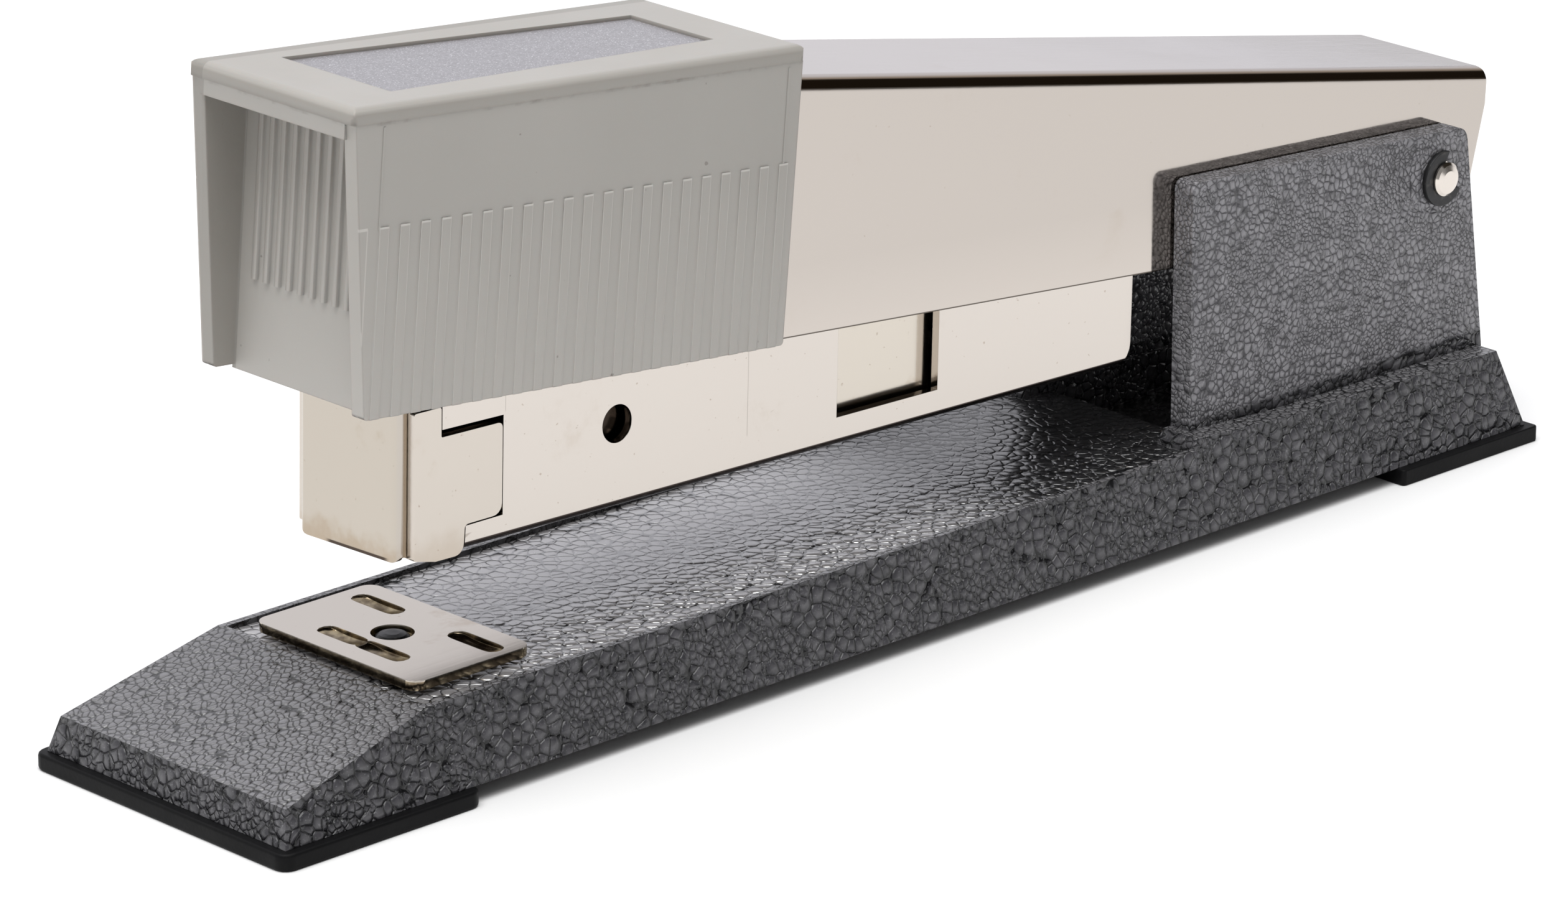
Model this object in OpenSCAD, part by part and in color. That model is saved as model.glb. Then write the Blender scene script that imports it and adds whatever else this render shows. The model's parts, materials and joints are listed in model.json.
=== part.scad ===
// Heavy desk stapler: cast base with two hinge cheeks, a turning anvil, a staple
// magazine and a pressing arm that both swing on one pin at the back.
// Millimetres. X runs along the length with the nose towards -X, Y runs across,
// Z is up. The origin is under the middle of the base, on the table.

/* [Base] */
// Length of the casting along its lower edge
base_len = 218; // [216:0.5:220]
// Width of the casting across its lower edge
base_w = 44; // [43:0.5:46]
// Height of the casting without its pads
base_h = 10.5; // [10.3:0.1:10.6]
// Inward lean of every side, as run over rise
draft = 0.275; // [0.25:0.005:0.29]
// Height of the front lip, where the ramp starts
lip_h = 4.5; // [4:0.1:5]
// Distance from the front edge to the top of the ramp
ramp_len = 24.4; // [24:0.1:24.6]
// Depth of the tray floor below the side rims
tray_d = 0.7; // [0.5:0.1:0.9]
// Height of the rubber pads
pad_h = 2.2; // [2:0.1:2.5]
// How far the pads stand out past the casting
pad_lip = 1.3; // [1:0.1:1.5]
// Length of the front pad
front_pad_len = 31; // [28:0.5:32]
// Length of the rear pad
rear_pad_len = 27; // [25:0.5:30]

/* [Cheeks] */
// Thickness of each hinge cheek
cheek_t = 3.3; // [3:0.1:3.6]
// Distance between the two cheeks
cheek_gap = 24.6; // [24.6:0.1:25]
// Distance from the front of the casting to the cheeks
cheek_x = 158.7; // [157:0.1:160]
// Height of the cheeks at their front edge
cheek_h = 45.2; // [44:0.1:46]

/* [Hinge] */
// Distance from the front of the casting to the hinge pin
hinge_x = 206.7; // [206.2:0.1:207.2]
// Height of the hinge pin above the casting's underside
hinge_z = 35.8; // [35.6:0.05:36]
// Radius of the hinge pin
pin_r = 2.3; // [2.1:0.05:2.4]
// Radial running clearance on the pin
run_gap = 0.05; // [0.03:0.01:0.08]

/* [Magazine] */
// Nose-up lean of the magazine at rest, in degrees
mag_pitch = 1.66; // [1.4:0.02:1.8]
// Width across the outer frame
frame_w = 20.8; // [20.6:0.1:20.8]
// Sheet thickness of the outer frame
frame_t = 1.2; // [1:0.1:1.2]
// Distance from the hinge pin forward to the nose plate
nose_reach = 177.4; // [177.2:0.1:177.8]
// Width of the nose plate
nose_w = 17.8; // [17.6:0.1:18]
// Drop from the hinge pin to the underside of the frame
frame_drop = 16.35; // [16.2:0.05:16.45]
// Outside width of a staple
staple_w = 12.9; // [12.7:0.1:12.9]
// Length of the staple strip that is loaded
strip_len = 41; // [30:1:41]

/* [Arm] */
// Nose-up lean of the arm at rest, in degrees
arm_pitch = 5.3; // [5.2:0.02:5.4]
// Width across the arm
arm_w = 24; // [23.8:0.1:24]
// Sheet thickness of the arm
arm_t = 1.3; // [1.2:0.05:1.3]
// Drop from the hinge pin to the lower edge of the arm
arm_drop = 7.2; // [7:0.1:7.4]
// Radius along the arm's top edges
arm_edge_r = 2; // [1.5:0.1:2.5]

/* [Cap] */
// Width across the cap
cap_w = 29.6; // [29.4:0.1:30]
// Wall thickness of the cap
cap_t = 2.3; // [2:0.1:2.3]
// Length of the cap's top
cap_len = 72; // [70:0.5:73]
// Distance from the hinge pin forward to the cap's front edge
cap_reach = 191.5; // [191:0.1:192]
// Spacing of the grip ribs on the cap's sides
rib_pitch = 3.2; // [3:0.1:3.4]

/* [Hidden] */
$fn = 48;

// Small allowances that several pieces share
joint_gap = 0.15;
bite = 0.4;

// Base, measured from the casting's front edge and underside
floor_z = base_h - tray_d;
rim_y = base_w / 2 - draft * base_h - 1;
ledge_h = 1.2;
cheek_in = cheek_gap / 2;
cheek_out = cheek_in + cheek_t;
cheek_back = base_len - 2;
cheek_lean = 4.3;
well_x = cheek_x + 2.8;
well_end = hinge_x - 3;
well_z = 5;
peg_r = 2.4;
peg_h = 3;

// Anvil: a plate on a spring-loaded post
anvil_x = 35.8;
anvil_len = 18.8;
anvil_w = 29.6;
anvil_t = 1.25;
anvil_z = base_h + run_gap;
post_r = 2;
post_head_r = 2.1;
anvil_hole_r = 2.65;
pocket_r = 6.5;
pocket_h = 6;
slot_offset = 5;

// Hinge stack across the width
clip_y = cheek_out + 0.05;
clip_t = 0.7;
pin_end = cheek_out + 1.6;
bush_r = 4;
coil_r = 5.2;
spring_wire_r = 0.6;

// Magazine, measured from the hinge pin with the frame level
frame_in = frame_w / 2 - frame_t;
web_z = -frame_drop + frame_t;
frame_end = -53.4;
frame_top = 5.5;
strap_r = 6;
nose_x = -nose_reach;
nose_t = 0.9;
nose_corner = 1.1;
flange_x = nose_x + 1.45;
flange_t = 1.55;
spacer_half = nose_w / 2 - 0.15;
channel_x = flange_x + flange_t + 0.2;
channel_end = -88.4;
channel_out = 8.4;
channel_wall = 1.5;
channel_t = 0.6;
channel_r = 2.2;
rail_half = 5.6;
rail_t = 0.6;
rail_z = -8.5;
rail_end = -59.3;
rod_z = -11.3;
rod_r = 1.2;
tongue_half = 1.75;
wire = 0.5;
strip_x = channel_x;
strip_end = strip_x + strip_len;
pusher_len = 16;
pusher_x = strip_end + 0.1;
throat_half = 6.7;
tab_top = 2.3;
nose_top = 6.5;
nose_rivet_r = 0.75;
window_x = -106.3;
window_len = 17.7;
window_z = -12.55;
window_h = 14;
hole_x = -143.45;
hole_z = -5.6;
hole_r = 2.4;
spring_pin_x = -32;
rivet_y = 3.4;
foot_y = 1.9;
rivet_x = [-157.3, -99.3];

// Driver blade: leans halfway through its stroke, so that it stays in its slot
blade_t = 0.7;
blade_w = 12.4;
blade_len = 41;
blade_x = -175.43;
blade_tip_z = -6.25;
blade_lean = 1.65;

// Arm, measured from the hinge pin with its lower edge level
arm_front = -180.7;
bracket_x = -175.2;
arm_in = arm_w / 2 - arm_t;
arm_bend = [-118.3, 25.8];
arm_tail = [11.8, 12.9];
arm_nose_z = 26.2;

// Cap, in the arm's own directions
cap_in = cap_w / 2 - cap_t;
cap_x = -cap_reach;
cap_end = cap_x + cap_len;
cap_part_z = 28.6;
cap_top_z = 30.6;
cap_edge_r = 1.1;
cap_wall_y = cap_w / 2 - 0.15;
cap_under_z = 27.4;
cap_foot_z = -7;
panel_x = cap_x + 7.3;
panel_t = 2.2;
panel_foot_z = -7.5;
grip_x = cap_x + 4.4;
grip_z = 16.1;
label_x = cap_x + 9.9;
label_len = 53.7;
label_front_w = 19.5;
label_back_w = 14.6;
label_d = 0.9;
label_t = 0.5;
screw_x = [-169, -142];

// Colours
hammertone = [0.33, 0.33, 0.35];
rubber = [0.08, 0.08, 0.08];
nickel = [0.83, 0.80, 0.76];
steel = [0.55, 0.54, 0.52];
dark_steel = [0.2, 0.2, 0.21];
plastic = [0.75, 0.74, 0.71];
foil = [0.66, 0.66, 0.70];

// --- Frames of reference ---

// From the casting's front edge and underside
module on_base() {
    translate([-base_len / 2, 0, pad_h]) children();
}

// From the hinge pin, turned nose up
module on_hinge(pitch = 0) {
    on_base() translate([hinge_x, 0, hinge_z]) rotate([0, pitch, 0]) children();
}

module on_magazine() {
    on_hinge(mag_pitch) children();
}

module on_arm() {
    on_hinge(arm_pitch) children();
}

// --- Shared shapes ---

// An X-Z outline given thickness across Y
module across(y0, y1) {
    translate([0, y1, 0]) rotate([90, 0, 0]) linear_extrude(y1 - y0) children();
}

// A Y-Z outline given length along X
module along(x0, x1) {
    translate([x0, 0, 0]) rotate([90, 0, 90]) linear_extrude(x1 - x0) children();
}

// A box from its lowest and highest corners
module box(low, high) {
    translate(low) cube(high - low);
}

module rod_across(r, y0, y1) {
    across(y0, y1) circle(r);
}

module rod_along(r, x0, x1) {
    along(x0, x1) circle(r);
}

// Both sides of the middle plane
module both_sides() {
    children();
    mirror([0, 1, 0]) children();
}

function unit(v) = v / norm(v);

// The arc that rounds corner b between a and c
function arc_points(a, b, c, r, steps = 5) =
    let (p = unit(a - b), q = unit(c - b), half = acos(p * q) / 2)
    let (centre = b + unit(p + q) * r / sin(half))
    let (first = b + p * r / tan(half) - centre, last = b + q * r / tan(half) - centre)
    let (start = atan2(first[1], first[0]))
    let (raw = atan2(last[1], last[0]) - start)
    let (sweep = raw > 180 ? raw - 360 : raw < -180 ? raw + 360 : raw)
    [for (i = [0 : steps]) centre + r * [cos(start + sweep * i / steps),
                                         sin(start + sweep * i / steps)]];

// An outline whose corners are [x, y, radius]
module rounded(corners) {
    n = len(corners);
    flat = [for (c = corners) [c[0], c[1]]];
    polygon([for (i = [0 : n - 1])
        for (p = corners[i][2] > 0
            ? arc_points(flat[(i + n - 1) % n], flat[i], flat[(i + 1) % n], corners[i][2])
            : [flat[i]]) p]);
}

module rounded_box_2d(x0, y0, x1, y1, r) {
    rounded([[x0, y0, r], [x1, y0, r], [x1, y1, r], [x0, y1, r]]);
}

// A round wire through a list of points, none of its runs along the given axis
module wire_along(path, r, axis, sides = 8) {
    n = len(path);
    ring = [for (i = [0 : n - 1])
        let (t = unit(path[min(i + 1, n - 1)] - path[max(i - 1, 0)]))
        let (side = unit(cross(t, axis)))
        let (up = cross(side, t))
        for (k = [0 : sides - 1])
            path[i] + r * (cos(360 * k / sides) * side + sin(360 * k / sides) * up)];
    skin = [for (i = [0 : n - 2]) for (k = [0 : sides - 1])
        let (a = i * sides + k, b = i * sides + (k + 1) % sides)
        for (face = [[a, a + sides, b + sides], [a, b + sides, b]]) face];
    first = [[for (k = [0 : sides - 1]) k]];
    last = [[for (k = [sides - 1 : -1 : 0]) (n - 1) * sides + k]];
    polyhedron(ring, concat(skin, first, last));
}

// Points on a coil round the Y axis
function coil_across(r, y0, y1, turns, start, steps = 16) =
    [for (i = [0 : turns * steps])
        let (a = start + 360 * i / steps)
        [r * cos(a), y0 + (y1 - y0) * i / (turns * steps), r * sin(a)]];

// --- Base ---

module casting_side() {
    top = base_h + ledge_h;
    rear = base_len - draft * base_h;
    polygon([[0, 0], [base_len, 0], [rear, base_h], [rear - 40, base_h + 0.4],
        [cheek_x + 2, top], [cheek_x - 1.2, top], [cheek_x - 2.4, base_h],
        [ramp_len, base_h], [draft * lip_h, lip_h]]);
}

module casting_section() {
    top = base_h + ledge_h;
    half = base_w / 2;
    polygon([[-half, 0], [half, 0], [half - draft * top, top], [draft * top - half, top]]);
}

module cheek_side() {
    rounded([[cheek_x, 2, 0], [cheek_back, 2, 0], [cheek_back, base_h, 0],
        [cheek_back - cheek_lean, cheek_h - 3.4, 2], [cheek_x, cheek_h, 1.2]]);
}

module base_casting() {
    color(hammertone) on_base() difference() {
        union() {
            intersection() {
                across(-base_w / 2, base_w / 2) casting_side();
                along(0, base_len) casting_section();
            }
            both_sides() across(cheek_in, cheek_out) cheek_side();
        }
        box([ramp_len + 0.6, -rim_y, floor_z], [cheek_x - 2.4, rim_y, base_h + 5]);
        box([cheek_x - 3, -cheek_in, floor_z], [well_x + 1, cheek_in, base_h + 5]);
        box([well_x, -cheek_in + 0.6, well_z], [well_end, cheek_in - 0.6, base_h + 5]);
        box([well_end - 1, -cheek_in, base_h], [base_len, cheek_in, base_h + 5]);
        translate([hinge_x, 0, hinge_z]) rod_across(pin_r + 0.02, -base_w, base_w);
        translate([anvil_x, 0, -1]) cylinder(r = post_r + run_gap, h = base_h + 2);
        translate([anvil_x, 0, -1]) cylinder(r = pocket_r, h = pocket_h + 1);
        pad_pegs(14, peg_r);
        pad_pegs(base_len - 13, peg_r);
    }
}

module pad_pegs(x, r) {
    both_sides() translate([x, 14, -0.5]) cylinder(r = r, h = peg_h + 0.5);
}

// A pad runs out past the casting on its three outer sides
module pad(x0, x1, corner, peg_x) {
    half = base_w / 2 + pad_lip;
    translate([0, 0, -pad_h]) linear_extrude(pad_h) rounded_box_2d(x0, -half, x1, half, corner);
    pad_pegs(peg_x, peg_r - 0.02);
}

module front_pad() {
    color(rubber) on_base() pad(-pad_lip, front_pad_len - pad_lip, 1.8, 14);
}

module rear_pad() {
    back = base_len + pad_lip;
    color(rubber) on_base() pad(back - rear_pad_len, back, 0.6, base_len - 13);
}

// Half of the pin's outline: a groove for the clip, then a domed end
module hinge_pin() {
    groove_r = pin_r - 0.5;
    half = [[0, 0], [pin_r, 0], [pin_r, clip_y], [groove_r, clip_y],
        [groove_r, clip_y + clip_t + 0.1], [pin_r, clip_y + clip_t + 0.1],
        [pin_r, pin_end - 0.5], [pin_r - 0.35, pin_end - 0.2], [pin_r - 1.1, pin_end], [0, pin_end]];
    color(nickel) on_hinge() both_sides() rotate([-90, 0, 0]) rotate_extrude() polygon(half);
}

module hinge_clips() {
    color(dark_steel) on_hinge() both_sides() across(clip_y, clip_y + clip_t) difference() {
        circle(3.75);
        circle(pin_r - 0.48);
        rotate(22) polygon([[0, -1.3], [5, -5], [5, 5], [0, 1.3]]);
    }
}

// The coil stands on the casting's floor and lifts the magazine's cross pin
module lift_spring() {
    start = [[-14, -6.6, -29.6], [-12.6, -6.6, -27], [-4, -6.6, -9]];
    coil = coil_across(coil_r, -6.6, -1.4, 4, 200);
    end = [[-10, -1.4, -6.2], [-34, -1.4, -4.6]];
    color(steel) on_hinge() wire_along(concat(start, coil, end), spring_wire_r, [0, 1, 0]);
}

module anvil_spring() {
    coil = [for (i = [0 : 64]) [4.2 * cos(i * 22.5), 4.2 * sin(i * 22.5), 2.25 + 3.2 * i / 64]];
    color(steel) on_base() translate([anvil_x, 0, 0]) wire_along(coil, 0.45, [0, 0, 1], 6);
}

// --- Anvil ---

module anvil_slot(x, y, length) {
    translate([x, y, 0]) rounded_box_2d(-1.2, -length / 2, 1.2, length / 2, 1.1);
}

// One side clinches the staple in, the other side pins it out
module anvil_plate() {
    color(nickel) on_base() translate([anvil_x, 0, anvil_z]) difference() {
        linear_extrude(anvil_t)
            rounded_box_2d(-anvil_len / 2, -anvil_w / 2, anvil_len / 2, anvil_w / 2, 1.8);
        translate([0, 0, 0.4]) linear_extrude(anvil_t) {
            anvil_slot(-slot_offset, 0, 15.4);
            anvil_slot(slot_offset, -9.2, 8.6);
            anvil_slot(slot_offset, 9.2, 8.6);
        }
        translate([0, 0, 0.5]) cylinder(r = anvil_hole_r, h = anvil_t);
        translate([0, 0, -1]) cylinder(r = post_r - 0.4, h = anvil_t + 2);
    }
}

module anvil_post() {
    shank = post_r - 0.4;
    top = anvil_z + anvil_t;
    outline = [[0, 1], [1.2, 1], [1.2, 1.3], [post_r, 1.3], [post_r, anvil_z], [shank, anvil_z],
        [shank, anvil_z + 0.5], [post_head_r, anvil_z + 0.5], [post_head_r, top - 0.45],
        [post_head_r * 0.8, top - 0.15], [post_head_r * 0.45, top], [0, top]];
    color(dark_steel) on_base() translate([anvil_x, 0, 0]) rotate_extrude() polygon(outline);
}

// Push button under the base that also carries the spring
module anvil_clip() {
    color(steel) on_base() translate([anvil_x, 0, 0]) difference() {
        translate([0, 0, 0.7]) cylinder(r = 5.4, h = 1);
        translate([0, 0, 1.3]) cylinder(r = post_r, h = 2);
        cylinder(r = 1.2, h = 2);
    }
}

// --- Magazine ---

// Outline of the nose block's tab
module tab_side() {
    rounded([[flange_x, -16, 0.3], [-172.5, -16.75, 0], [-168.1, -16.75, 1.4],
        [-167.9, -13.1, 0.6], [-162, -13, 1.4], [-162, -1.5, 0.7],
        [-171.7, -1.45, 0.2], [-171.7, tab_top, 0.3], [flange_x, tab_top, 0.3]]);
}

// The cut-out in the frame that holds the tab, with a slot left open above it
module tab_cutout() {
    polygon([[flange_x - 1, -20], [-168.05, -20], [-167.75, -13.25], [-161.85, -13.15],
        [-161.85, -0.65], [-171.55, -0.55], [-171.55, 10], [flange_x - 1, 10]]);
}

module frame_side() {
    difference() {
        union() {
            rounded([[-171.7, -frame_drop, 0], [frame_end, -frame_drop, 3],
                [frame_end, -3.4, 0], [frame_end - 4, frame_top + 1, 0],
                [-171.7, frame_top - 1, 0.5]]);
            polygon([[frame_end - 4, -3.4], [0, -strap_r], [0, strap_r],
                [frame_end - 4, frame_top + 1]]);
            circle(strap_r);
        }
        tab_cutout();
        circle(pin_r + run_gap);
        translate([hole_x, hole_z]) circle(hole_r);
        translate([window_x, window_z]) square([window_len, window_h]);
    }
}

// Folded channel: round lower corners outside, open at the top
module channel_section(half, wall, web, low, high, corner) {
    difference() {
        rounded([[-half, low, corner], [half, low, corner], [half, high, 0], [-half, high, 0]]);
        translate([wall - half, low + web]) square([2 * (half - wall), high - low]);
    }
}

module outer_frame() {
    color(nickel) on_magazine() difference() {
        intersection() {
            across(-frame_w / 2, frame_w / 2) frame_side();
            along(-175, strap_r + 1)
                channel_section(frame_w / 2, frame_t, frame_t, -frame_drop, 20, 1.1);
        }
        box([-176, -frame_in, -frame_drop - 1], [-161.5, frame_in, web_z + 1]);
        translate([spring_pin_x, 0, 0]) rod_across(rod_r, -frame_w, frame_w);
        rail_rivet_places() cylinder(r = 1.2, h = 20, center = true);
    }
}

module nose_block() {
    color(nickel) on_magazine() {
        both_sides() across(frame_in, frame_w / 2) tab_side();
        difference() {
            union() {
                both_sides() box([flange_x, throat_half, -15.9],
                    [flange_x + flange_t, frame_in + bite, tab_top]);
                both_sides() box([flange_x, throat_half, tab_top - 1],
                    [flange_x + flange_t, nose_w / 2, nose_top]);
                box([channel_x, -frame_in - bite, 0.6], [channel_x + 2, frame_in + bite, 2]);
                both_sides() box([flange_x, throat_half, 0.6], [channel_x + 1, frame_in + bite, 2]);
            }
            nose_rivet_places() rod_along(nose_rivet_r, -5, 5);
        }
    }
}

module nose_rivet_places() {
    both_sides() translate([nose_x + 1.5, 7.9, nose_top - 1.9]) children();
}

// Two strips that set the width and depth of the driver's slot
module nose_spacers() {
    step_x = nose_x + nose_corner + 0.05;
    color(nickel) on_magazine() difference() {
        both_sides() translate([0, 0, -15.9]) linear_extrude(nose_top + 15.9)
            polygon([[nose_x + nose_t, throat_half], [flange_x, throat_half], [flange_x, spacer_half],
                [step_x, spacer_half], [step_x, 7.9], [nose_x + nose_t, 7.9]]);
        nose_rivet_places() rod_along(nose_rivet_r, -5, 5);
    }
}

// Front plate with its two edges folded back and its lower corners rounded
module nose_plate() {
    half = nose_w / 2;
    color(nickel) on_magazine() difference() {
        intersection() {
            translate([0, 0, -30]) linear_extrude(60) difference() {
                rounded([[nose_x, -half, nose_corner], [nose_x + nose_corner, -half, 0],
                    [nose_x + nose_corner, half, 0], [nose_x, half, nose_corner]]);
                translate([nose_x + nose_t, nose_t - half]) square([5, 2 * (half - nose_t)]);
            }
            along(nose_x - 1, nose_x + 5) rounded([[-half, -16.4, 1], [half, -16.9, 1.6],
                [half, nose_top, 0], [-half, nose_top, 0]]);
        }
        nose_rivet_places() rod_along(nose_rivet_r, -5, 5);
    }
}

module nose_rivets() {
    color(steel) on_magazine() nose_rivet_places() {
        rod_along(nose_rivet_r, -1.5, 1.5);
        rod_along(1.4, -2.1, -1.5);
    }
}

module inner_channel() {
    color(nickel) on_magazine() difference() {
        along(channel_x, channel_end)
            channel_section(channel_out, channel_wall, channel_t, web_z, 0.5, channel_r);
        rail_rivet_places() cylinder(r = 1.2, h = 20, center = true);
    }
}

module rail_rivet_places() {
    for (x = rivet_x) both_sides() translate([x, rivet_y, web_z]) children();
}

// Upturned channel that the staples ride on, slotted for the pusher's tongue
module staple_rail() {
    foot = web_z + channel_t;
    color(steel) on_magazine() difference() {
        union() {
            along(channel_x, rail_end) difference() {
                translate([-rail_half, foot]) square([2 * rail_half, rail_z - foot]);
                translate([rail_t - rail_half, foot - 1])
                    square([2 * (rail_half - rail_t), rail_z - rail_t - foot + 1]);
            }
            for (x = rivet_x) both_sides()
                box([x - 2, foot_y, foot], [x + 2, rail_half, foot + rail_t]);
        }
        box([strip_end - 2, -1.3, rail_z - 2], [rail_end - 2, 1.3, rail_z + 1]);
        rail_rivet_places() cylinder(r = 1.2, h = 20, center = true);
    }
}

module rail_rivets() {
    color(steel) on_magazine() rail_rivet_places() {
        translate([0, 0, -frame_t]) cylinder(r = 1.2, h = frame_t + channel_t + rail_t);
        translate([0, 0, channel_t + rail_t]) cylinder(r = 1.4, h = 0.5);
    }
}

// Glued strip of staples, each one a wire with a square crown
module staple_strip() {
    half = staple_w / 2;
    top = rail_z + 0.1 + wire;
    foot = top - 6.3;
    color(steel) on_magazine() along(strip_x, strip_end) difference() {
        rounded([[-half, foot, 0], [half, foot, 0], [half, top, 0.3], [-half, top, 0.3]]);
        translate([wire - half, foot - 1]) square([2 * (half - wire), top - foot + 1 - wire]);
    }
}

module guide_rod() {
    color(steel) on_magazine() translate([0, 0, rod_z]) rod_along(rod_r, channel_x + 1, rail_end + 4);
}

module rod_anchor() {
    color(steel) on_magazine() difference() {
        union() {
            box([rail_end + 0.5, -frame_in, web_z], [rail_end + 2.5, frame_in, rail_z]);
            box([rail_end + 0.5, -frame_in, web_z], [frame_end - 1, frame_in, web_z + 1]);
        }
        translate([0, 0, rod_z]) rod_along(rod_r, rail_end - 5, rail_end + 9);
    }
}

module pusher_spring() {
    x0 = pusher_x + pusher_len + 0.3;
    x1 = rail_end + 0.2;
    turns = 15;
    steps = turns * 10;
    coil = [for (i = [0 : steps])
        [x0 + (x1 - x0) * i / steps, 2.1 * cos(36 * i), rod_z + 2.1 * sin(36 * i)]];
    color(steel) on_magazine() wire_along(coil, 0.3, [1, 0, 0], 6);
}

module hinge_bush() {
    color(steel) on_magazine() difference() {
        rod_across(bush_r, -frame_in + 0.05, frame_in - 0.05);
        rod_across(pin_r + run_gap, -frame_w, frame_w);
    }
}

module spring_pin() {
    color(steel) on_magazine() translate([spring_pin_x, 0, 0])
        rod_across(rod_r, -frame_w / 2, frame_w / 2);
}

// Its upper leg is drawn where the fully pressed arm leaves it
module return_spring() {
    start = [[-36, 1.6, 2.4], [-14, 1.6, 3.4]];
    coil = coil_across(coil_r, 1.6, 6.8, 4, 130);
    end = [[-9, 6.8, 7.2], [-30, 6.8, 14.4]];
    color(steel) on_magazine() wire_along(concat(start, coil, end), spring_wire_r, [0, 1, 0]);
}

// Saddle over the rail, with a tongue down to the guide rod
module pusher() {
    half = rail_half + 0.85;
    color(nickel) on_magazine() difference() {
        union() {
            box([pusher_x, -half, web_z + 1], [pusher_x + pusher_len, half, rail_z + 4]);
        }
        difference() {
            box([pusher_x - 1, -rail_half - 0.15, web_z - 1],
                [pusher_x + pusher_len + 1, rail_half + 0.15, rail_z + 0.15]);
            box([pusher_x, -1.1, rod_z + 0.5], [pusher_x + pusher_len, 1.1, rail_z + 1]);
            box([pusher_x, -tongue_half, rod_z - 1.75],
                [pusher_x + pusher_len, tongue_half, rod_z + 1.75]);
        }
        box([pusher_x + 3, -half - 1, rail_z + 2], [pusher_x + pusher_len - 3, half + 1, rail_z + 5]);
        translate([0, 0, rod_z]) rod_along(rod_r + run_gap, pusher_x - 1, pusher_x + pusher_len + 1);
    }
}

// --- Arm ---

// Side outline of the arm; inset gives the hollow under its top
module arm_side(inset = 0) {
    low = inset > 0 ? -arm_drop - 5 : -arm_drop;
    reach = inset > 0 ? 10 : 0;
    drop = inset * 1.006;
    rounded([[arm_front - reach, low, 0], [9.3 + reach, low, inset > 0 ? 0 : 2],
        [10.4 + reach, -1.4, 0], [12 + reach, 8, 0],
        [arm_tail[0] + reach, arm_tail[1] - drop - reach * 0.1, inset > 0 ? 0 : 0.8],
        [arm_bend[0], arm_bend[1] - drop, 0], [arm_front - reach, arm_nose_z - drop, 0]]);
}

// What is cut away to round a straight top edge
module edge_cut(from, to) {
    run = norm(to - from);
    lift = atan2(to[1] - from[1], to[0] - from[0]);
    translate([from[0], 0, from[1]]) rotate([0, -lift, 0]) along(-2, run + 2)
        translate([arm_w / 2, 0]) difference() {
            translate([-arm_edge_r, -arm_edge_r]) square(arm_edge_r + 1);
            translate([-arm_edge_r, -arm_edge_r]) circle(arm_edge_r);
        }
}

module arm_shell() {
    color(nickel) on_arm() difference() {
        across(-arm_w / 2, arm_w / 2) arm_side();
        across(-arm_in, arm_in) arm_side(arm_t);
        both_sides() edge_cut([arm_front, arm_nose_z], arm_bend);
        both_sides() edge_cut(arm_bend, arm_tail);
        rod_across(pin_r + run_gap, -arm_w, arm_w);
        for (x = screw_x) translate([x, 0, 20]) cylinder(r = 1.2, h = 10);
        bracket_rivet_places() cylinder(r = 1.5, h = 10, center = true);
    }
}

module bracket_rivet_places() {
    both_sides() translate([bracket_x + 12, 5.5, arm_nose_z - arm_t]) children();
}

// Angle piece that hangs the driver under the arm's front end
module driver_bracket() {
    top = arm_nose_z - arm_t - 0.25;
    color(steel) on_arm() difference() {
        union() {
            box([bracket_x, -9, top - 1.5], [bracket_x + 17.9, 9, top]);
            box([bracket_x, -7, 13], [bracket_x + 1.5, 7, top]);
        }
        bracket_rivet_places() cylinder(r = 1.5, h = 10, center = true);
        driver_rivet_places() rod_along(1.2, -5, 5);
        for (x = screw_x) translate([x, 0, 10]) cylinder(r = 2, h = 20);
    }
}

module bracket_rivets() {
    color(steel) on_arm() bracket_rivet_places() {
        translate([0, 0, -2]) cylinder(r = 1.5, h = 3.3);
        translate([0, 0, -2.5]) cylinder(r = 2.4, h = 0.7);
    }
}

module driver_rivet_places() {
    both_sides() translate([bracket_x - 0.1, 3.6, 18]) children();
}

module driver_blade() {
    color(steel) difference() {
        on_magazine() translate([blade_x, 0, blade_tip_z]) rotate([0, blade_lean, 0])
            box([-blade_t / 2, -blade_w / 2, 0], [blade_t / 2, blade_w / 2, blade_len]);
        on_arm() driver_rivet_places() rod_along(1.2, -5, 5);
    }
}

module driver_rivets() {
    color(steel) on_arm() driver_rivet_places() {
        rod_along(1.2, -1.5, 1.6);
        rod_along(2, -1.9, -1.1);
        rod_along(2, 1.6, 2.3);
    }
}

// --- Cap ---

// Side wall: its front edge leans back towards the foot
module cap_wall_side() {
    rounded([[cap_x + 4.1, cap_foot_z, 0.5], [cap_end - 0.3, cap_foot_z, 0.5],
        [cap_end - 0.2, cap_part_z, 0], [cap_x + 0.5, cap_part_z, 0]]);
}

module label_outline(gap = 0) {
    front = label_front_w / 2 - gap;
    back = label_back_w / 2 - gap;
    polygon([[label_x + gap, -front], [label_x + label_len - gap, -back],
        [label_x + label_len - gap, back], [label_x + gap, front]]);
}

// Rows of fine ribs for the thumb and fingers
module cap_ribs() {
    for (i = [0 : 20]) both_sides()
        box([grip_x + 0.45 + i * rib_pitch, cap_wall_y - bite, cap_foot_z],
            [grip_x + 1.9 + i * rib_pitch, cap_wall_y + 0.15, grip_z]);
    for (x = [grip_x + 0.3, cap_end - 2.6]) both_sides()
        box([x, cap_wall_y - bite, grip_z - bite], [x + 0.3, cap_wall_y + 0.08, cap_part_z - 0.6]);
    for (i = [-4.5 : 4.5])
        box([panel_x - 0.5, i * 2.07 - 0.4, 4.2], [panel_x + bite, i * 2.07 + 0.4, cap_under_z]);
}

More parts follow.
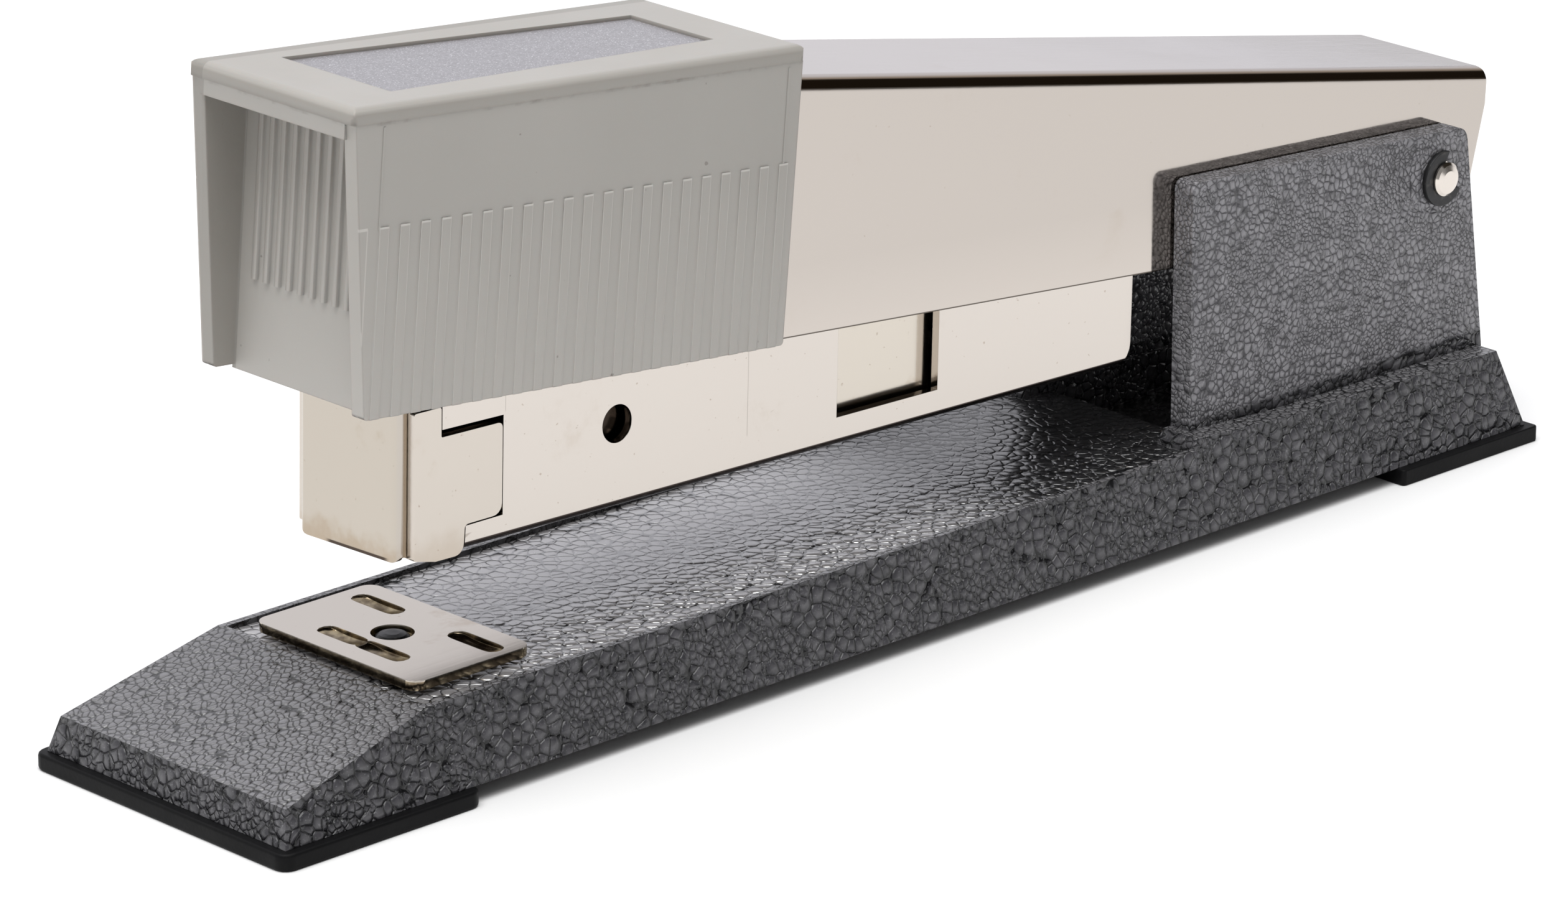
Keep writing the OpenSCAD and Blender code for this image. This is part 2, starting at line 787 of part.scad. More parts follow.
// Rounded slab, overhanging a lip that runs under it across the front
module cap_top() {
    half = cap_w / 2;
    lip_z = cap_under_z - 0.8;
    intersection() {
        translate([0, 0, cap_part_z]) linear_extrude(cap_top_z - cap_part_z)
            rounded_box_2d(cap_x, -half, cap_end, half, 0.7);
        along(cap_x, cap_end) rounded([[-half, cap_part_z, 0], [half, cap_part_z, 0],
            [half, cap_top_z, cap_edge_r], [-half, cap_top_z, cap_edge_r]]);
        across(-half, half) rounded([[cap_x, cap_part_z, 0], [cap_end, cap_part_z, 0],
            [cap_end, cap_top_z, cap_edge_r], [cap_x, cap_top_z, cap_edge_r]]);
    }
    box([cap_x + 0.3, -cap_in - bite, lip_z], [cap_x + 3, cap_in + bite, cap_part_z + bite]);
    box([cap_x + 0.6, -cap_in - bite, cap_under_z], [cap_end - 0.3, cap_in + bite, cap_part_z + bite]);
}

module cap() {
    color(plastic) on_arm() difference() {
        union() {
            both_sides() across(cap_in, cap_wall_y) cap_wall_side();
            box([panel_x, -cap_in - bite, panel_foot_z], [panel_x + panel_t, cap_in + bite, cap_part_z]);
            cap_top();
            box([cap_end - 2.5, -cap_in - bite, arm_nose_z + 0.05],
                [cap_end - 0.3, cap_in + bite, cap_part_z]);
            for (x = screw_x) translate([x, 0, arm_nose_z + 0.03])
                cylinder(r = 3.6, h = cap_part_z - arm_nose_z);
            cap_ribs();
        }
        translate([0, 0, cap_top_z - label_d]) linear_extrude(5) label_outline();
        for (x = screw_x) translate([x, 0, 0]) {
            translate([0, 0, 20]) cylinder(r = 1.25, h = 20);
            translate([0, 0, cap_top_z - label_d - 1.1]) cylinder(r = 2.5, h = 5);
        }
    }
}

module label_plate() {
    color(foil) on_arm() translate([0, 0, cap_top_z - label_d])
        linear_extrude(label_t) label_outline(joint_gap);
}

module cap_screws() {
    head_z = cap_top_z - label_d - 1.1;
    color(steel) on_arm() for (x = screw_x) translate([x, 0, 0]) {
        translate([0, 0, 22]) cylinder(r = 1.2, h = head_z - 21.5);
        translate([0, 0, head_z]) cylinder(r = 2.4, h = 1);
    }
}

base_casting();
front_pad();
rear_pad();
hinge_pin();
hinge_clips();
lift_spring();
anvil_spring();
anvil_plate();
anvil_post();
anvil_clip();
outer_frame();
nose_block();
nose_spacers();
nose_plate();
nose_rivets();
inner_channel();
staple_rail();
rail_rivets();
staple_strip();
guide_rod();
rod_anchor();
pusher_spring();
hinge_bush();
spring_pin();
return_spring();
pusher();
arm_shell();
driver_bracket();
bracket_rivets();
driver_blade();
driver_rivets();
cap();
label_plate();
cap_screws();
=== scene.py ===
"""The looks of a heavy desk stapler.

A hammertone casting, a nickelled arm and magazine, and a ribbed plastic cap. Everything is in
metres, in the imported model's own frame. X runs from the nose to the hinge, Z is up.
"""

import json
import math

import bmesh
import bpy
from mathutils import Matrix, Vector


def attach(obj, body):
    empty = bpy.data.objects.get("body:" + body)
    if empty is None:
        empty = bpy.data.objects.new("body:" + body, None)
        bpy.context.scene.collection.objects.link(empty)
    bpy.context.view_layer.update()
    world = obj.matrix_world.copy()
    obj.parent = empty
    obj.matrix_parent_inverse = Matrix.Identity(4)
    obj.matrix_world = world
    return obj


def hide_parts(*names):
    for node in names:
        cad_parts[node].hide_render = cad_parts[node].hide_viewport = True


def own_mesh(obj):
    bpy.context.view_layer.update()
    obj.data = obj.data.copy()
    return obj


MM = 0.001

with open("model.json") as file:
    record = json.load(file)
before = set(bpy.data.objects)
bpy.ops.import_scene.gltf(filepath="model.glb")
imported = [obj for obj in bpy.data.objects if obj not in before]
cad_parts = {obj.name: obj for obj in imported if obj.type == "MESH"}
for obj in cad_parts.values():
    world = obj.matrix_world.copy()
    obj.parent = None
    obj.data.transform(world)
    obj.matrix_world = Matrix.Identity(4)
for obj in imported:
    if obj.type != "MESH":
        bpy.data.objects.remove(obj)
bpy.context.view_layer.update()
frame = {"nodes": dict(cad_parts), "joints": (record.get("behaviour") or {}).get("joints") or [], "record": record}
BODIES = frame["record"]["behaviour"]["bodies"]
BODY_OF = {node: body for body, nodes in BODIES.items() for node in nodes}
SLOT_OF = {part["node"]: part["material_slot"] for part in frame["record"]["subparts"]}
JOINTS = {joint["name"]: joint for joint in frame["joints"]}
HINGE = Vector(JOINTS["arm_swing"]["pos_m"])

# How far the magazine and the arm lean nose up at rest, in degrees
MAGAZINE_PITCH = 1.66
ARM_PITCH = 5.3

# Places on the magazine, along it and above the hinge pin
NOSE_X = -177.4 * MM
SEAM_X = -161.6 * MM
HOLE_X = -143.45 * MM
SECOND_SEAM_X = -121.7 * MM
FRAME_FOOT = -16.35 * MM

# Places on the arm and its cap, along the arm and above the hinge pin
ARM_FOOT = -7.2 * MM
CAP_PART_Z = 28.6 * MM
GRIP_X = -187.1 * MM
GRIP_TOP = 16.1 * MM
RIB_PITCH = 3.2 * MM
RIB_ENDS = (0.45 * MM, 1.9 * MM)

# The cap's far side wall, just inside its two faces
CAP_WALL = (12.3 * MM, 14.4 * MM)

# Heights above the table
TRAY_TOP = 12.3 * MM
ANVIL_TOP = 14.0 * MM
CHEEK_FOOT = 14.6 * MM

# Anvil: its pockets' distance from its middle, their two ends across it and their depth
POCKET_W = 2.8 * MM
POCKETS = (
    (-5.0 * MM, -8.2 * MM, 0.2 * MM, 0.9 * MM),
    (-5.0 * MM, -0.4 * MM, 7.2 * MM, 0.9 * MM),
    (5.1 * MM, 4.3 * MM, 12.7 * MM, 0.95 * MM),
    (5.1 * MM, -13.6 * MM, -5.0 * MM, 0.95 * MM),
)
POST_HOLE_R = 2.68 * MM
POST_HOLE_FLOOR = 0.45 * MM

# Edges that turn by more than this many degrees are rounded, and faces over this area stay flat
SHARP_ANGLE = 28
BROAD_FACE = 60 * MM * MM

TARNISH = (0.36, 0.27, 0.18, 1)
DIRT = (0.12, 0.10, 0.08, 1)

# Camera, fitted to the photograph's perspective: metres, degrees and millimetres
CAMERA_PLACE = (-0.6245, -0.6420, 0.3325)
CAMERA_TURN = -43.84
CAMERA_LIFT = 19.30
CAMERA_LENS = 172.5

# The studio's walls, and patches on them: direction, the angles from it where the patch
# is full and where it ends, and colour
WALLS = (0.86, 0.86, 0.86, 1)
PATCHES = (
    ((0, 0, 1), 20, 60, (1.0, 1.0, 1.0, 1)),
    ((0, -1, 0.1), 25, 75, (0.28, 0.28, 0.28, 1)),
    ((-1, 0, 0.1), 25, 75, (0.5, 0.5, 0.5, 1)),
    ((0.65, 0.68, 0.33), 18, 50, (0.91, 0.905, 0.965, 1)),
    ((0.65, -0.52, 0.52), 24, 38, (0.03, 0.025, 0.02, 1)),
)


# --- Materials ---


class Shader:
    """A material's node graph, built by small calls that return sockets."""

    def __init__(self, name):
        self.material = bpy.data.materials.new(name)
        self.material.use_nodes = True
        self.tree = self.material.node_tree
        self.tree.nodes.clear()
        self.output = self.tree.nodes.new("ShaderNodeOutputMaterial")
        self.principled = self.tree.nodes.new("ShaderNodeBsdfPrincipled")
        self.tree.links.new(self.principled.outputs[0], self.output.inputs["Surface"])
        self.place = self.tree.nodes.new("ShaderNodeTexCoord").outputs["Object"]

    def put(self, socket, value):
        if isinstance(value, bpy.types.NodeSocket):
            self.tree.links.new(value, socket)
        else:
            socket.default_value = value

    def node(self, kind, inputs=(), **settings):
        made = self.tree.nodes.new(kind)
        for key, value in settings.items():
            setattr(made, key, value)
        for key, value in dict(inputs).items():
            self.put(made.inputs[key], value)
        return made

    def maths(self, operation, a, b=0.0, c=0.0):
        return self.node("ShaderNodeMath", {0: a, 1: b, 2: c}, operation=operation).outputs[0]

    def span(self, value, low, high, out_low=0.0, out_high=1.0, smooth=False):
        """Maps low..high to out_low..out_high, and holds the ends."""
        kind = "SMOOTHSTEP" if smooth else "LINEAR"
        ends = {"Value": value, "From Min": low, "From Max": high,
                "To Min": out_low, "To Max": out_high}
        return self.node("ShaderNodeMapRange", ends, interpolation_type=kind).outputs["Result"]

    def scaled(self, factors, place=None):
        made = self.node("ShaderNodeMapping", {"Vector": place or self.place, "Scale": factors})
        return made.outputs["Vector"]

    def vector(self, operation, inputs):
        return self.node("ShaderNodeVectorMath", inputs, operation=operation).outputs[0]

    def warped(self, scale, amount):
        """Coordinates pushed about by noise, so that a pattern isn't regular."""
        inputs = {"Vector": self.place, "Scale": scale, "Detail": 2.0}
        push = self.node("ShaderNodeTexNoise", inputs).outputs["Color"]
        push = self.vector("SUBTRACT", {0: push, 1: (0.5, 0.5, 0.5)})
        push = self.vector("SCALE", {0: push, "Scale": amount})
        return self.vector("ADD", {0: self.place, 1: push})

    def noise(self, scale, detail=3.0, rough=0.5, place=None):
        inputs = {"Vector": place or self.place, "Scale": scale, "Detail": detail,
                  "Roughness": rough}
        return self.node("ShaderNodeTexNoise", inputs).outputs["Fac"]

    def cells(self, scale, feature, place):
        """Distance to the nearest cell's middle (F1) or to its edge (DISTANCE_TO_EDGE)."""
        made = self.node("ShaderNodeTexVoronoi", feature=feature)
        self.put(made.inputs["Vector"], place)
        self.put(made.inputs["Scale"], scale)
        return made.outputs["Distance"]

    def mix(self, amount, a, b):
        made = self.node("ShaderNodeMix", data_type="RGBA")
        self.put(made.inputs["Factor"], amount)
        self.put(made.inputs["A"], a)
        self.put(made.inputs["B"], b)
        return made.outputs["Result"]

    def axes(self, place=None):
        made = self.node("ShaderNodeSeparateXYZ", {0: place or self.place})
        return made.outputs["X"], made.outputs["Y"], made.outputs["Z"]

    def turned(self, pitch):
        """Distance along and above the hinge pin, in a body that leans nose up by that angle."""
        x, _, z = self.axes()
        x = self.maths("SUBTRACT", x, HINGE.x)
        z = self.maths("SUBTRACT", z, HINGE.z)
        cos, sin = math.cos(math.radians(pitch)), math.sin(math.radians(pitch))
        along = self.maths("MULTIPLY_ADD", x, cos, self.maths("MULTIPLY", z, -sin))
        up = self.maths("MULTIPLY_ADD", x, sin, self.maths("MULTIPLY", z, cos))
        return along, up

    def facing(self):
        """The surface's own direction, before any bump."""
        return self.node("ShaderNodeNewGeometry").outputs["True Normal"]

    def inside(self, value, low, high, edge):
        """1 between the two ends, fading to 0 outside them."""
        rise = self.span(value, low - edge, low, smooth=True)
        fall = self.span(value, high, high + edge, 1.0, 0.0, smooth=True)
        return self.maths("MULTIPLY", rise, fall)

    def bump(self, height, distance, strength=1.0, under=None):
        inputs = {"Height": height, "Distance": distance, "Strength": strength}
        if under is not None:
            inputs["Normal"] = under
        return self.node("ShaderNodeBump", inputs).outputs["Normal"]

    def finish(self, **inputs):
        for key, value in inputs.items():
            self.put(self.principled.inputs[key.replace("_", " ")], value)
        return self.material


def grey(level, warm=0.0):
    return (level * (1 + warm), level, level * (1 - warm), 1.0)


def hammertone():
    """Glossy dark enamel drawn into round pebbles.

    It is glossier where it lay flat, and finer and paler on the cheeks. Upward faces get a painted lighter colour
    for the light they catch, pebble crowns on steep faces get a painted highlight, and the tray floor gets a
    painted reflection at its front and painted shade at its rear.
    """
    s = Shader("hammertone_enamel")
    place = s.warped(420, 0.0007)
    cheek = s.span(s.axes()[2], CHEEK_FOOT, CHEEK_FOOT + 0.6 * MM)
    rise = s.axes(s.facing())[2]
    flat = s.span(rise, 0.8, 0.95)
    steep = s.span(flat, 0.0, 1.0, 1.0, 0.0)
    level = s.maths("MULTIPLY", s.span(rise, 0.975, 0.995),
                    s.span(s.axes()[2], TRAY_TOP, TRAY_TOP + 0.15 * MM, 1.0, 0.0))
    front = s.span(s.axes()[0], -5 * MM, 25 * MM, 1.0, 0.0, smooth=True)
    near = s.span(s.axes()[1], -15 * MM, -2 * MM, 1.0, 0.0, smooth=True)

    def pebbles(scale):
        """Domes that meet in valleys, and the dark gap where three of them leave room."""
        edge = s.span(s.cells(scale, "DISTANCE_TO_EDGE", place), 0.0, 0.14, smooth=True)
        reach = s.cells(scale, "F1", place)
        dome = s.maths("SUBTRACT", 1.0, s.maths("MULTIPLY", reach, s.maths("MULTIPLY", reach, 1.1)))
        gap = s.span(reach, 0.6, 0.82, 1.0, 0.0, smooth=True)
        return s.maths("MULTIPLY", edge, gap), dome

    patch = s.maths("MULTIPLY", s.span(s.noise(210, 1), 0.42, 0.5, smooth=True), steep)
    patch = s.maths("MAXIMUM", patch, level)
    small, medium, large, fine = (pebbles(scale) for scale in (1020, 1000, 620, 1500))
    coarse = [s.mix(patch, small[i], large[i]) for i in (0, 1)]
    pale = [s.mix(patch, fine[i], medium[i]) for i in (0, 1)]
    paint, dome = (s.mix(cheek, coarse[i], pale[i]) for i in (0, 1))
    patchy = s.span(s.noise(330, 3), 0.3, 0.7)
    top = s.mix(patchy, (0.034, 0.034, 0.038, 1), (0.074, 0.072, 0.080, 1))
    top = s.mix(cheek, top, s.mix(patchy, (0.20, 0.196, 0.21, 1), (0.29, 0.284, 0.302, 1)))
    low = s.span(cheek, 0.0, 1.0, 1.0, 0.0)
    # Painted light: upward faces outside the cheeks get a lighter colour for the light they catch.
    top = s.mix(s.maths("MULTIPLY", flat, low), top, (0.15, 0.147, 0.155, 1))
    # Painted reflection and shade: the tray floor is pale at its front for the bright reflection it shows, and
    # near black at its rear for the shade under the cheeks and arm.
    top = s.mix(level, top, s.mix(front, (0.02, 0.0195, 0.021, 1), (0.30, 0.29, 0.294, 1)))
    # Painted highlight: the crowns of the pebbles on steep faces are lightened.
    crown_highlight = s.span(dome, 0.75, 1.0, 0.0, 0.35)
    top = s.mix(s.maths("MULTIPLY", crown_highlight, steep), top, (0.20, 0.196, 0.206, 1))
    vein = s.mix(cheek, (0.006, 0.006, 0.007, 1), (0.10, 0.098, 0.106, 1))
    colour = s.mix(s.span(paint, 0.0, 0.55), vein, top)
    bare = s.maths("MULTIPLY", s.span(s.noise(640, 3, 0.6), 0.52, 0.6, 0.0, 0.65), cheek)
    colour = s.mix(bare, colour, (0.085, 0.083, 0.088, 1))
    flake = s.span(s.noise(3600, 1, 0.5), 0.62, 0.75, 0.0, 0.3)
    colour = s.mix(flake, colour, (0.3, 0.3, 0.32, 1))
    height = s.maths("ADD", s.maths("MULTIPLY", paint, 0.35), dome)
    depth = s.mix(level, s.span(flat, 0.0, 1.0, 0.00045, 0.00026),
                  s.span(near, 0.0, 1.0, 0.00016, 0.0005))
    normal = s.bump(height, depth, 1.0)
    normal = s.bump(s.noise(150, 2), 0.0012, 0.16, normal)
    rough = s.span(s.noise(900, 2), 0.3, 0.7, 0.18, 0.28)
    gloss = s.maths("MULTIPLY", level, s.span(front, 0.0, 1.0, 0.2, 2.4))
    index = s.maths("ADD", s.span(flat, 0.0, 1.0, 1.45, 1.75), gloss)
    return s.finish(Base_Color=colour, Roughness=rough, Normal=normal, IOR=index)


def nickel(name, tint, stain=0.35, rough=0.13, marks=None):
    """Bright nickel plate with handling haze, hairline scratches and brown tarnish in patches."""
    s = Shader(name)
    blotch = s.span(s.noise(85, 6, 0.65), 0.60, 0.74, 0.0, stain, smooth=True)
    speck = s.span(s.noise(1500, 2, 0.5), 0.73, 0.77, 0.0, 0.5, smooth=True)
    colour = s.mix(blotch, (*tint, 1), TARNISH)
    colour = s.mix(speck, colour, (0.3, 0.22, 0.16, 1))
    if marks:
        colour = marks(s, colour)
    hair = s.noise(900, 2, 0.5, s.scaled((0.06, 1.0, 1.0)))
    haze = s.span(s.noise(38, 5, 0.6), 0.3, 0.7, rough - 0.03, rough + 0.05)
    normal = s.bump(hair, 0.000012, 0.5)
    normal = s.bump(s.noise(30, 1), 0.0006, 0.1, normal)
    return s.finish(Base_Color=colour, Roughness=haze, Normal=normal, Metallic=1.0)


def ragged(s, up):
    """A height pushed about by noise, so that stains end unevenly."""
    return s.maths("ADD", up, s.span(s.noise(300, 4, 0.6), 0.3, 0.7, -1.5 * MM, 1.5 * MM))


def low_stains(low, high, strength):
    """Marks that brown the plate towards its lower edge, between two heights above the hinge."""
    def marks(s, colour):
        _, up = s.turned(MAGAZINE_PITCH)
        amount = s.span(ragged(s, up), low, high, strength, 0.0, smooth=True)
        return s.mix(amount, colour, TARNISH)
    return marks


def frame_marks(s, colour):
    """Two hairline seams, short dark scratches, and a painted dark reflection of the base round the bottom fold.
    """
    along, up = s.turned(MAGAZINE_PITCH)
    line = 0.05 * MM
    seam = s.maths("MULTIPLY", s.inside(along, SEAM_X, SEAM_X + line, 0.04 * MM),
                   s.inside(up, 0.0, 8 * MM, 0.5 * MM))
    second = s.maths("MULTIPLY", s.inside(along, SECOND_SEAM_X, SECOND_SEAM_X + line, line),
                     s.inside(up, -11.5 * MM, 2 * MM, 0.5 * MM))
    seam = s.maths("MAXIMUM", seam, second)
    colour = s.mix(s.maths("MULTIPLY", seam, 0.4), colour, (0.12, 0.09, 0.07, 1))
    streaks = s.noise(420, 2, 0.5, s.scaled((0.25, 1.0, 1.0), s.warped(60, 0.006)))
    scratch = s.span(streaks, 0.735, 0.755, 0.0, 0.5, smooth=True)
    colour = s.mix(scratch, colour, (0.25, 0.2, 0.16, 1))
    # Painted shade: the bottom fold is near black, for the dark base that it mirrors.
    fold_shade = s.span(up, FRAME_FOOT + 0.95 * MM, FRAME_FOOT + 1.02 * MM, 1.0, 0.0)
    return s.mix(fold_shade, colour, (0.05, 0.038, 0.034, 1))


def channel_marks(s, colour):
    """Painted shade behind the round hole and the nose block, brown grime low and high."""
    along, up = s.turned(MAGAZINE_PITCH)
    # Painted shade: near black where the channel sits behind the round hole and the nose block.
    inside_shade = s.maths("MAXIMUM", s.inside(along, HOLE_X - 3.5 * MM, HOLE_X + 3.5 * MM, 1.5 * MM),
                  s.span(along, SEAM_X + 2 * MM, SEAM_X + 4 * MM, 1.0, 0.0))
    height = ragged(s, up)
    low = s.span(height, -13.5 * MM, -11 * MM, 0.6, 0.0, smooth=True)
    high = s.span(height, -1.5 * MM, 1 * MM, 0.0, 0.6, smooth=True)
    colour = s.mix(s.maths("MAXIMUM", low, high), colour, TARNISH)
    return s.mix(inside_shade, colour, (0.035, 0.026, 0.02, 1))


def arm_marks(s, colour):
    """Painted light and shade on the arm: a paler painted reflection low on the flanks, a painted shadow line
    along the lower edge, a painted dark brown reflection on the rounded top edges, and painted shade darkening the
    top towards the hinge.
    """
    _, up = s.turned(ARM_PITCH)
    # Painted reflection: the flanks are paler towards their lower edge.
    colour = s.mix(s.span(up, ARM_FOOT, 2 * MM, 1.0, 0.0), colour, (0.556, 0.507, 0.463, 1))
    # Painted shadow: a near black line along the arm's lower edge.
    foot_shadow_line = s.span(up, ARM_FOOT + 0.12 * MM, ARM_FOOT + 0.2 * MM, 0.9, 0.0)
    colour = s.mix(foot_shadow_line, colour, (0.05, 0.04, 0.03, 1))
    turn = s.node("ShaderNodeVectorTransform", {"Vector": s.facing()}, vector_type="NORMAL",
                  convert_to="OBJECT")
    rise = s.axes(turn.outputs["Vector"])[2]
    # Painted reflection: the rounded top edges are browned for the dark they mirror.
    edge = s.inside(rise, 0.3, 0.8, 0.12)
    colour = s.mix(s.maths("MULTIPLY", edge, 0.85), colour, (0.24, 0.175, 0.12, 1))
    # Painted shade: upward faces are darkened towards the hinge.
    rear = s.span(s.axes()[0], 30 * MM, 80 * MM, 0.0, 0.8)
    painted_dark_top = s.maths("MULTIPLY", s.span(rise, 0.9, 0.97), rear)
    return s.mix(painted_dark_top, colour, (0.40, 0.365, 0.34, 1))


def anvil_marks(s, colour):
    """Brown, dull metal in the pockets and round the sheared edge."""
    depth = s.span(s.axes()[2], ANVIL_TOP - 0.22 * MM, ANVIL_TOP - 0.08 * MM, 1.0, 0.0)
    patchy = s.span(s.noise(700, 3), 0.4, 0.65)
    return s.mix(depth, colour, s.mix(patchy, (0.16, 0.125, 0.085, 1), (0.42, 0.35, 0.24, 1)))


def plate_marks(s, colour):
    """Brown at the nose's lower edge, and a painted shade hairline where its edge is folded back."""
    along, up = s.turned(MAGAZINE_PITCH)
    colour = low_stains(-17 * MM, -13 * MM, 0.6)(s, colour)
    slant = s.maths("MULTIPLY_ADD", s.axes()[1], 0.028, up)
    foot = s.maths("MULTIPLY", s.inside(s.axes()[1], -6.6 * MM, 2.9 * MM, 1.2 * MM),
                   s.span(slant, -16.3 * MM, -16.2 * MM, 0.95, 0.0))
    colour = s.mix(foot, colour, (0.05, 0.035, 0.028, 1))
    # Painted shade: a darker hairline where the plate's edge is folded back.
    fold_shade = s.span(along, NOSE_X + 0.25 * MM, NOSE_X + 0.4 * MM, 0.0, 0.35)
    return s.mix(fold_shade, colour, (0.45, 0.42, 0.40, 1))


def steel(name, level=0.5, rough=0.32, warm=0.02):
    """Drawn or sheared steel, faintly streaked."""
    s = Shader(name)
    streak = s.noise(700, 3, 0.5, s.scaled((0.12, 1.0, 1.0)))
    colour = s.mix(s.span(streak, 0.3, 0.7), grey(level * 0.78, warm), grey(level, warm))
    haze = s.span(s.noise(120, 4), 0.3, 0.7, rough - 0.07, rough + 0.1)
    normal = s.bump(streak, 0.00002, 0.6)
    return s.finish(Base_Color=colour, Roughness=haze, Normal=normal, Metallic=1.0)


def blackened():
    s = Shader("blackened_steel")
    wear = s.span(s.noise(800, 4, 0.6), 0.55, 0.72, 0.0, 0.5)
    colour = s.mix(wear, (0.03, 0.03, 0.031, 1), (0.13, 0.12, 0.11, 1))
    return s.finish(Base_Color=colour, Roughness=s.span(s.noise(300, 3), 0.3, 0.7, 0.3, 0.5),
                    Normal=s.bump(s.noise(2200, 2), 0.00002, 0.7), Metallic=0.6)


def rubber():
    s = Shader("moulded_rubber")
    dust = s.span(s.noise(240, 5, 0.6), 0.55, 0.8, 0.0, 0.35)
    colour = s.mix(dust, (0.004, 0.004, 0.0045, 1), (0.014, 0.014, 0.013, 1))
    return s.finish(Base_Color=colour, Roughness=s.span(s.noise(90, 3), 0.3, 0.7, 0.4, 0.55),
                    Normal=s.bump(s.noise(1800, 3), 0.00004, 0.6), Specular_IOR_Level=0.12)


def moulded():
    """Warm grey satin plastic: faint flow marks, painted highlights on the rib edges and tips, painted floor light
    low on the sides, painted shade inside the far wall, grimy parting line, rare specks.
    """
    s = Shader("moulded_plastic")
    along, up = s.turned(ARM_PITCH)
    flow = s.noise(26, 3, 0.5, s.scaled((1.0, 1.0, 0.35)))
    colour = s.mix(s.span(flow, 0.35, 0.65), (0.366, 0.349, 0.322, 1), (0.393, 0.375, 0.347, 1))
    band = s.inside(up, CAP_PART_Z, CAP_PART_Z + 1.1 * MM, 0.3 * MM)
    colour = s.mix(s.maths("MULTIPLY", band, 0.35), colour, (0.24, 0.22, 0.19, 1))
    # Painted light: the sides are paler towards the bottom, for the light thrown up from the floor.
    lit = s.span(up, -8 * MM, 16 * MM, 0.45, 0.0)
    colour = s.mix(lit, colour, (0.51, 0.49, 0.46, 1))
    # Painted highlights: light lines along the outer rib edges and on the ribs' top ends.
    step = s.maths("WRAP", s.maths("SUBTRACT", along, GRIP_X), RIB_PITCH, 0.0)
    edges = [s.inside(step, end - 0.06 * MM, end + 0.06 * MM, 0.05 * MM) for end in RIB_ENDS]
    grip = s.span(up, GRIP_TOP, GRIP_TOP - 0.2 * MM, 0.0, 0.35)
    rib_highlight = s.maths("MULTIPLY", s.maths("MAXIMUM", *edges), grip)
    tips = s.maths("MULTIPLY", s.inside(step, *RIB_ENDS, 0.05 * MM),
                   s.inside(up, GRIP_TOP - 0.2 * MM, GRIP_TOP + 0.05 * MM, 0.1 * MM))
    rib_highlight = s.maths("MAXIMUM", rib_highlight, s.maths("MULTIPLY", tips, 0.5))
    outside = s.span(s.maths("ABSOLUTE", s.axes()[1]), CAP_WALL[1], CAP_WALL[1] + 0.15 * MM)
    colour = s.mix(s.maths("MULTIPLY", rib_highlight, outside), colour, (0.68, 0.66, 0.62, 1))
    # Painted shade: the inside of the far side wall is darkened under the top slab.
    wall_shade = s.inside(s.axes()[1], *CAP_WALL, 0.1 * MM)
    colour = s.mix(s.maths("MULTIPLY", wall_shade, 0.6), colour, (0.25, 0.235, 0.21, 1))
    grime = s.maths("MULTIPLY", s.inside(up, CAP_PART_Z - 0.35 * MM, CAP_PART_Z, 0.15 * MM),
                    s.span(s.noise(300, 4, 0.6), 0.5, 0.75, 0.0, 0.5))
    colour = s.mix(grime, colour, DIRT)
    speck = s.span(s.noise(700, 1, 0.4), 0.80, 0.82, 0.0, 0.5)
    colour = s.mix(speck, colour, DIRT)
    edge = s.node("ShaderNodeBevel", {"Radius": 0.35 * MM}, samples=6)
    normal = s.bump(s.noise(2400, 2, 0.5), 0.00002, 0.5, edge.outputs["Normal"])
    normal = s.bump(s.noise(45, 2), 0.0008, 0.12, normal)
    rough = s.span(s.noise(60, 4, 0.6), 0.3, 0.7, 0.36, 0.46)
    return s.finish(Base_Color=colour, Roughness=rough, Normal=normal, Specular_IOR_Level=0.45,
                    Subsurface_Weight=0.05, Subsurface_Scale=0.002)


def foil():
    """Silver label plate with a fine sparkle pressed into it."""
    s = Shader("sparkle_foil")
    grain = s.noise(2600, 2, 0.6)
    colour = s.mix(s.span(grain, 0.35, 0.65), (0.34, 0.332, 0.345, 1), (0.40, 0.39, 0.405, 1))
    spark = s.span(s.noise(5200, 0, 0.5), 0.68, 0.74, 0.0, 0.6)
    colour = s.mix(spark, colour, (0.86, 0.86, 0.88, 1))
    return s.finish(Base_Color=colour, Roughness=s.span(s.noise(900, 2), 0.3, 0.7, 0.36, 0.5),
                    Normal=s.bump(grain, 0.00003, 0.6), Metallic=0.7)


def staple_wire():
    """Flattened wires glued side by side, with a dark line at each joint."""
    s = Shader("staple_strip")
    x, _, _ = s.axes()
    wave = s.maths("PINGPONG", x, 0.00026)
    line = s.span(wave, 0.0, 0.00007, 0.0, 1.0, smooth=True)
    colour = s.mix(line, (0.12, 0.12, 0.13, 1), (0.62, 0.62, 0.64, 1))
    return s.finish(Base_Color=colour, Roughness=s.span(s.noise(500, 2), 0.3, 0.7, 0.24, 0.38),
                    Normal=s.bump(line, 0.00012, 0.8), Metallic=1.0)


MATERIALS = {
    "paint": hammertone(),
    "rubber": rubber(),
    "nickel": nickel("nickel_plate", (0.70, 0.645, 0.59)),
    "steel": steel("bare_steel"),
    "dark_steel": blackened(),
    "spring_steel": steel("spring_wire", 0.42, 0.28, 0.0),
    "staple_wire": staple_wire(),
    "plastic": moulded(),
    "foil": foil(),
}

